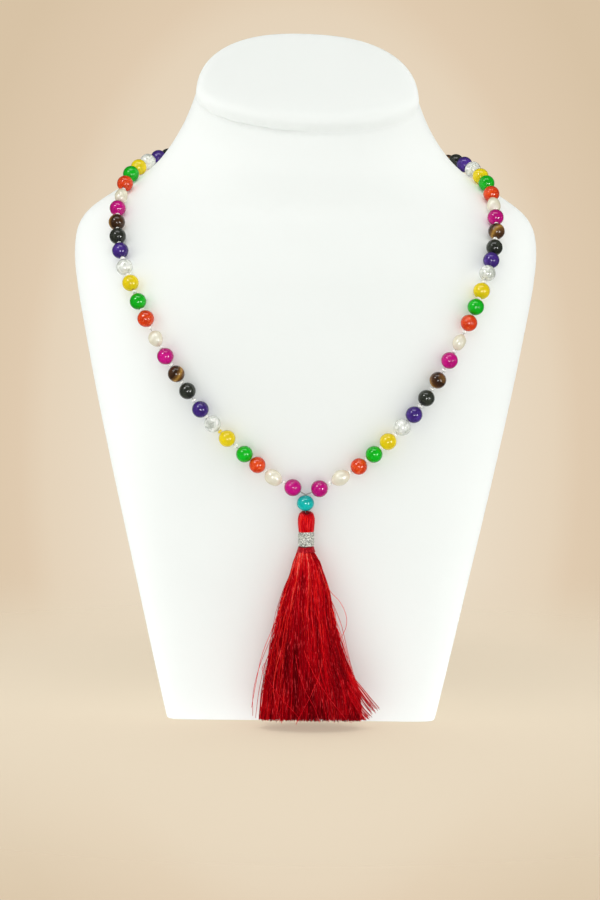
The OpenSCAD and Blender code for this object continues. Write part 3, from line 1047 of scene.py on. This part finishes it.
def strands(name, count, layer, width, locks, tint, length=26, span=0.5, middle=0):
    """Strands from the wrap to the cut end, drawn together into locks on their way down.
    Layer is how deep they lie, from and to; width is a strand's radius. They stand within span,
    a share of a turn, to either side of middle, where 0 is the front."""
    share = np.linspace(0, 1, length)[None] ** 1.1
    turn = (middle + rng.uniform(-span, span, count))[:, None] % 1
    depth = np.sqrt(rng.uniform(layer[0] ** 2, layer[1] ** 2, count))[:, None]
    # Each strand leans to the middle of its lock, and some stray from it
    edges = np.sort(rng.random(locks))
    number = np.searchsorted(edges, turn[:, 0]) % locks
    lock = (edges[number] - 0.5 / locks)[:, None]
    off = (turn - lock + 0.5) % 1 - 0.5
    gather = rng.uniform(0, 0.4, locks)[number][:, None] * np.sin(np.pi * share**0.8)
    stray = np.where(rng.random(count) < 0.35, 0.06, 0.02)
    drift = (rng.normal(0, 1, count) * stray)[:, None] * share**1.2
    way = turn - gather * off + drift
    height = rng.normal(0, 0.03, locks)[number][:, None]
    # The edges of a lock sink in, and its cut end is uneven
    belly = np.sin(np.pi * share)
    sink = 1 - 0.1 * np.abs(off) * 2 * locks * belly - np.abs(height) * belly
    uneven = np.abs(rng.normal(0, 0.7, count))[:, None]
    end = STRAND_END + 1.7 * np.clip(np.cos(2 * np.pi * turn), 0, 1) + uneven
    level = STRAND_TOP + (end - STRAND_TOP) * share
    close = np.clip((SKIRT[-1][0] - level) / 3, 0, 1)
    narrow = 1 - 0.1 * hill(level, 77, 6)
    lines = skirt_place(level, way, depth * np.clip(sink, 0.5, 1) * (0.86 + 0.14 * close) * narrow)
    # Short waves sideways and forwards, and a long one sideways
    for axis, most in ((0, 0.45), (1, 0.3), (0, 1.1)):
        period = rng.uniform(9, 20, count) if most < 1 else rng.uniform(30, 80, count)
        wave = 2 * np.pi * level / period[:, None] + rng.uniform(0, 6.3, count)[:, None]
        lines[..., axis] += rng.uniform(0, most, count)[:, None] * np.sin(wave) * belly
    # Painted light in the lit patch at the top and at the flanks, painted light and shade in the folds, and
    # painted shade on deep strands and at the edges of the locks
    aside = (turn + 0.5) % 1 - 0.5
    patch = hill(aside, -0.06, 0.1) * (1 - share) ** 4
    fold = sum(
        lighter * hill(lines[..., 0], x, wide) * hill(level, z, high)
        for x, z, wide, high, lighter in FOLD_SHADES
    )
    own = rng.normal(tint, 0.22, count) + rng.normal(0, 0.06, locks)[number] - 0.3 * (1 - depth[:, 0])
    flank_light = 0.2 * hill(np.abs(aside), 0.25, 0.05)
    tints = np.clip(own[:, None] - 0.05 * np.abs(off) * 2 * locks + 0.35 * patch + fold + flank_light, 0.02, 0.98)
    thick = width * rng.uniform(0.75, 1.2, count)[:, None] * (1 - 0.25 * share)
    return tubes(name, lines, thick, 3, tints)


# Strands that leave the skirt: points x, y, level from the top down
LOOSE = [
    [(-8, -78, 67), (-9.6, -79, 63), (-13.9, -79, 51), (-19.3, -78.5, 36.6), (-22.3, -78, 21.7),
     (-24.2, -77, 10.3)],
    [(-10.5, -78, 52), (-13, -79, 44), (-17.6, -79, 33), (-20.6, -78.5, 19), (-22.2, -78, 5.4)],
    [(-9.5, -78, 58), (-14.6, -78, 46), (-20.4, -77.6, 31), (-23.4, -77, 18), (-23.6, -76, 6)],
    [(11.5, -77, 72), (14, -76.5, 67.6), (18.5, -76, 62.8), (21.5, -76, 56.4), (21.6, -76, 50.5),
     (18.7, -76, 44)],
    [(13, -78, 66), (15.3, -77, 61.3), (19.3, -76, 51.4), (22.3, -76, 39.1), (24.9, -76, 28.3),
     (26.1, -76, 19.4)],
    [(14, -78, 60), (17.4, -77, 52), (20.6, -76.5, 43), (23.4, -76, 33), (25.4, -76, 24), (26.6, -76, 14)],
    [(15.2, -77, 54), (18.4, -76, 47), (21.2, -75, 39), (23.4, -75, 31), (26.3, -75, 21), (28.7, -75, 9)],
    [(22.5, -79, 29), (25.8, -78.6, 24.5), (29.6, -78, 19.4), (33, -78, 14.8), (36.5, -78, 10.4)],
    [(23, -79, 26.5), (26, -78.6, 21), (28.8, -78, 16.5), (31.6, -78, 12.6), (34.4, -77.6, 9.6)],
    [(22.5, -79.6, 24), (25.4, -79, 18.6), (27.8, -78.6, 14), (30.4, -78, 10), (33, -77.6, 7)],
    [(22, -80, 20), (24.8, -79.4, 15), (27.4, -79, 11), (29.6, -78, 7.6), (32, -77, 4.6)],
    [(-18, -81, 33), (-19, -84.6, 30), (-15, -86.3, 24), (-10.6, -86.6, 18), (-4.6, -86.6, 11.4),
     (0.6, -86.4, 5.6)],
    [(1.2, -84.4, 40), (3.2, -85.6, 34.7), (6.2, -86.2, 28.6), (10.2, -86.4, 22),
     (15.6, -86.2, 14.6), (22.2, -85, 6.2)],
    [(-3, -84.6, 38), (-1.4, -85.6, 30), (1.8, -86.3, 21), (6.4, -86.4, 12.4), (9.2, -86.2, 5)],
    [(10.6, -83.6, 36), (8.2, -85.3, 26.6), (3.6, -86.2, 16), (-0.6, -86.5, 8), (-2.4, -86.4, 4)],
    [(-10, -83.6, 40), (-12.6, -84.6, 30), (-13.4, -85.2, 20), (-11.2, -85.6, 10), (-9.2, -85.6, 4.4)],
]
FLICK = slice(7, 11)  # those of the flick at the lower right
LOWEST = 4.4  # level that the strands round them don't go below


def loose_strands():
    """The strands that leave the skirt, and a whole lock of them for the flick."""
    steps, around_each = 18, 12
    lines = [smoothed(points, steps) for points in LOOSE]
    for line in lines[FLICK]:
        for _ in range(around_each):
            drift = np.linspace(0.3, 1, steps)[:, None] * rng.normal(0, (0.9, 0.5, 1.1), 3)
            lines.append(line + np.where(line[:, 2:] + drift[:, 2:] > LOWEST, drift, 0))
    tints = np.where(np.arange(len(lines)) < len(LOOSE), 0.75, 0.5) + rng.uniform(-0.12, 0.15, len(lines))
    return tubes("loose", lines, 0.12, 4, tints)


def skirt(floss):
    core = shrunk_copy("tassel_skirt", "tassel_skirt_core", 2.2)
    inner = strands("tassel_inner_strands", 700, (0.62, 0.9), 0.2, 34, 0.3, 18)
    front = strands("tassel_front_strands", 1250, (0.86, 1.03), 0.15, 40, 0.4, 26, 0.3)
    back = strands("tassel_back_strands", 650, (0.86, 1.03), 0.19, 40, 0.5, 20, 0.25, 0.5)
    fly = strands("fly", 90, (0.98, 1.05), 0.11, 38, 0.8)
    loose = joined([fly, loose_strands()], "tassel_loose_strands")
    for piece in (core, inner, front, back, loose):
        hand_in(piece, floss, "tassel_red", "tassel_skirt")


def guru_thread(cord):
    """The two thread ends from the lowest beads, and their way through the guru bead."""
    lines = []
    for side in ("left", "right"):
        centres = bead_centres(side)
        out = unit(FORK - centres[1])
        mouth = centres[0] + (BEAD / 2 - 0.3) * out
        sag = (mouth + FORK) / 2 + [0, -0.2, -0.35]
        lines.append(smoothed([mouth, sag, FORK + [0, 0, -0.3]], 12))
    down = np.array([FORK + [0, 0, 0.1], GURU, [GURU[0], GURU[1], STEM_TOP - 1]])
    pieces = [twist(f"part_{k}", line) for k, line in enumerate(lines + [down])]
    loop = around(np.linspace(0, 1.5, 20), 0.24, FORK[2] - np.linspace(-0.15, 0.25, 20), GURU)
    knot = tubes("knot", [loop], 0.11, 5, [0.5], (0, 0, 1))
    hand_in(joined(pieces + [knot], "guru_cord"), cord, "thread_grey", "guru_thread")


camera()
studio()
pale_floor()
bust()

stones = stone_materials()
white_glass = seed_glass("white_seed_glass", "#F1EFE9", "#FBFAF6")
yellow_glass = seed_glass("yellow_seed_glass", "#E8C81E", "#F2DC50")
cord = twisted_thread("grey_polyester_cord", [(0.2, "#7A7772"), (0.5, "#A3A09B"), (0.8, "#C4C1BB")])
round_form, pearl, seed = bead_form(BEAD), pearl_form(), seed_form()
for side in ("left", "right"):
    bead_side(side, round_form, pearl, seed, stones, white_glass, yellow_glass, cord)
guru = copied(round_form, "guru_bead_turquoise", GURU, (0, 0, 1), (1.06, 1.06, 0.98))
hand_in(guru, stones["turquoise"], "turquoise_stone", "guru_bead")
guru_thread(cord)

# The palest stop, #FF9484, is a painted highlight for the brightest strands.
floss = silk_floss("red_silk_floss", [
    (0.0, "#2A0006"), (0.25, "#6E0008"), (0.5, "#AC0010"), (0.75, "#DA0A16"), (0.9, "#FA3624"),
    (1.0, "#FF9484"),
], -0.05, 0.12)
wrap_floss = silk_floss("dark_red_silk_cord", [(0.0, "#560612"), (0.5, "#A2101E"), (1.0, "#CC3A36")], 0, 0)
silver = metal_thread("silver_metal_thread")
stem(floss, wrap_floss, silver)
skirt(floss)

for form in (round_form, pearl, seed):
    bpy.data.objects.remove(form)
